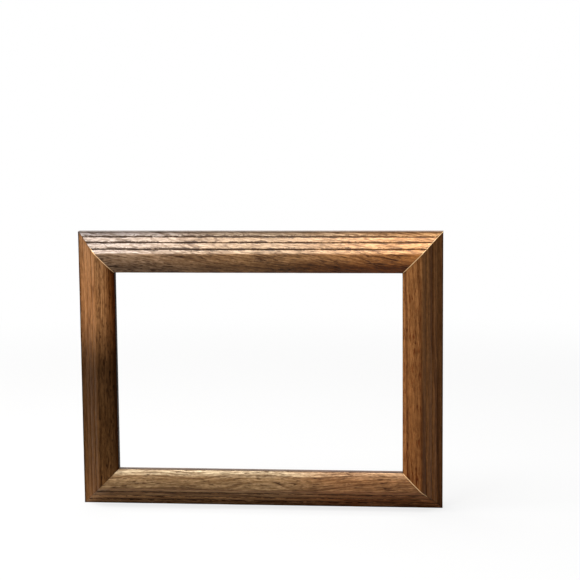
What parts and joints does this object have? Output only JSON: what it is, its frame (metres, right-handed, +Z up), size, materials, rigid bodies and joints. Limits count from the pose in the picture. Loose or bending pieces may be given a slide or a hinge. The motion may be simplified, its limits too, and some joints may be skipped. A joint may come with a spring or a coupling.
{
  "type": "picture frame",
  "caption": "Small landscape picture frame of reeded, dark-stained oak rails mitred at the corners, open through, with a rebate, turn buttons and a sawtooth hanger behind.",
  "frame": {"origin": "centre of the opening, in the plane of the flat back of the wood", "axes": "+Z up, +X to the right of someone who looks at the front, +Y out of the back towards the wall; the front faces -Y"},
  "size_m": [0.2148, 0.0212, 0.164],
  "materials": {
    "stained_oak": "dark walnut stain under satin varnish, open oak grain",
    "pin_steel": "bare rolled steel",
    "hanger_brass": "brass plated, lightly dulled",
    "button_steel": "zinc plated, satin",
    "screw_steel": "zinc plated, satin"
  },
  "bodies": {
    "frame": {"top_rail": "stained_oak", "bottom_rail": "stained_oak", "left_stile": "stained_oak", "right_stile": "stained_oak", "corner_pin_top_left_outer": "pin_steel", "corner_pin_top_right_outer": "pin_steel", "corner_pin_bottom_left_outer": "pin_steel", "corner_pin_bottom_right_outer": "pin_steel", "corner_pin_top_left_inner": "pin_steel", "corner_pin_top_right_inner": "pin_steel", "corner_pin_bottom_left_inner": "pin_steel", "corner_pin_bottom_right_inner": "pin_steel", "hanger": "hanger_brass", "hanger_nail_left": "hanger_brass", "hanger_nail_right": "hanger_brass", "button_screw_top_left": "screw_steel", "button_screw_top_right": "screw_steel", "button_screw_bottom_left": "screw_steel", "button_screw_bottom_right": "screw_steel", "button_screw_left": "screw_steel", "button_screw_right": "screw_steel"},
    "button_top_left": {"turn_button_top_left": "button_steel"},
    "button_top_right": {"turn_button_top_right": "button_steel"},
    "button_bottom_left": {"turn_button_bottom_left": "button_steel"},
    "button_bottom_right": {"turn_button_bottom_right": "button_steel"},
    "button_left": {"turn_button_left": "button_steel"},
    "button_right": {"turn_button_right": "button_steel"}
  },
  "joints": [
    {"name": "turn_top_left", "type": "hinge", "parent": "frame", "child": "button_top_left", "pos_m": [-0.056, 0.00062, 0.072], "axis": [0, 1, 0], "continuous": true},
    {"name": "turn_top_right", "type": "hinge", "parent": "frame", "child": "button_top_right", "pos_m": [0.056, 0.00062, 0.072], "axis": [0, -1, 0], "continuous": true},
    {"name": "turn_bottom_left", "type": "hinge", "parent": "frame", "child": "button_bottom_left", "pos_m": [-0.056, 0.00062, -0.072], "axis": [0, -1, 0], "continuous": true},
    {"name": "turn_bottom_right", "type": "hinge", "parent": "frame", "child": "button_bottom_right", "pos_m": [0.056, 0.00062, -0.072], "axis": [0, 1, 0], "continuous": true},
    {"name": "turn_left", "type": "hinge", "parent": "frame", "child": "button_left", "pos_m": [-0.0974, 0.00062, 0], "axis": [0, -1, 0], "continuous": true},
    {"name": "turn_right", "type": "hinge", "parent": "frame", "child": "button_right", "pos_m": [0.0974, 0.00062, 0], "axis": [0, 1, 0], "continuous": true}
  ]
}
